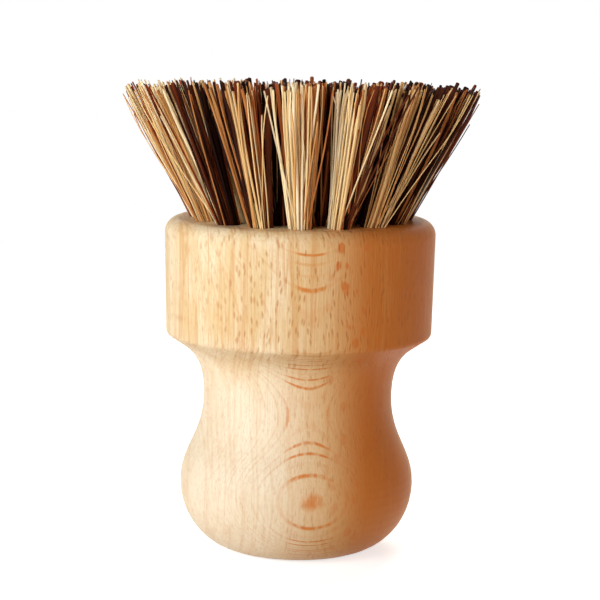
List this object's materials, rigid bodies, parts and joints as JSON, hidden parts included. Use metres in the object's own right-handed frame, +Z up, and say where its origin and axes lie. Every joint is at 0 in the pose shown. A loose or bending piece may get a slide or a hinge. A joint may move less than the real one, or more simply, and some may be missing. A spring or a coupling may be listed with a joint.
{
  "type": "palm brush",
  "caption": "Round palm brush: a turned wooden knob with a wide collar, a waist and a belly, its flat face filled with splayed tufts of stiff plant fibre.",
  "frame": {"origin": "centre of the flat foot of the handle, which the brush stands on", "axes": "+Z up along the handle's turning axis, from the foot to the bristle tips; -Y is the side that faces the viewer in the picture"},
  "size_m": [0.067, 0.0664, 0.092],
  "materials": {
    "beech": "fine sanded, oiled",
    "anchor_wire": "drawn flat wire",
    "pale_fibre": "dry split fibre",
    "tan_fibre": "dry split fibre",
    "russet_fibre": "dry split fibre",
    "dark_fibre": "dry split fibre"
  },
  "bodies": {
    "root": {"handle": "beech", "anchors": "anchor_wire", "tuft_centre_1": "pale_fibre", "tuft_inner_1": "russet_fibre", "tuft_inner_2": "tan_fibre", "tuft_inner_3": "dark_fibre", "tuft_inner_4": "pale_fibre", "tuft_inner_5": "russet_fibre", "tuft_middle_1": "tan_fibre", "tuft_middle_2": "dark_fibre", "tuft_middle_3": "pale_fibre", "tuft_middle_4": "russet_fibre", "tuft_middle_5": "tan_fibre", "tuft_middle_6": "dark_fibre", "tuft_middle_7": "pale_fibre", "tuft_middle_8": "russet_fibre", "tuft_middle_9": "tan_fibre", "tuft_middle_10": "dark_fibre", "tuft_middle_11": "pale_fibre", "tuft_outer_1": "russet_fibre", "tuft_outer_2": "tan_fibre", "tuft_outer_3": "dark_fibre", "tuft_outer_4": "pale_fibre", "tuft_outer_5": "russet_fibre", "tuft_outer_6": "tan_fibre", "tuft_outer_7": "dark_fibre", "tuft_outer_8": "pale_fibre", "tuft_outer_9": "russet_fibre", "tuft_outer_10": "tan_fibre", "tuft_outer_11": "dark_fibre", "tuft_outer_12": "pale_fibre", "tuft_outer_13": "russet_fibre", "tuft_outer_14": "tan_fibre", "tuft_outer_15": "dark_fibre", "tuft_outer_16": "pale_fibre"}
  },
  "joints": []
}
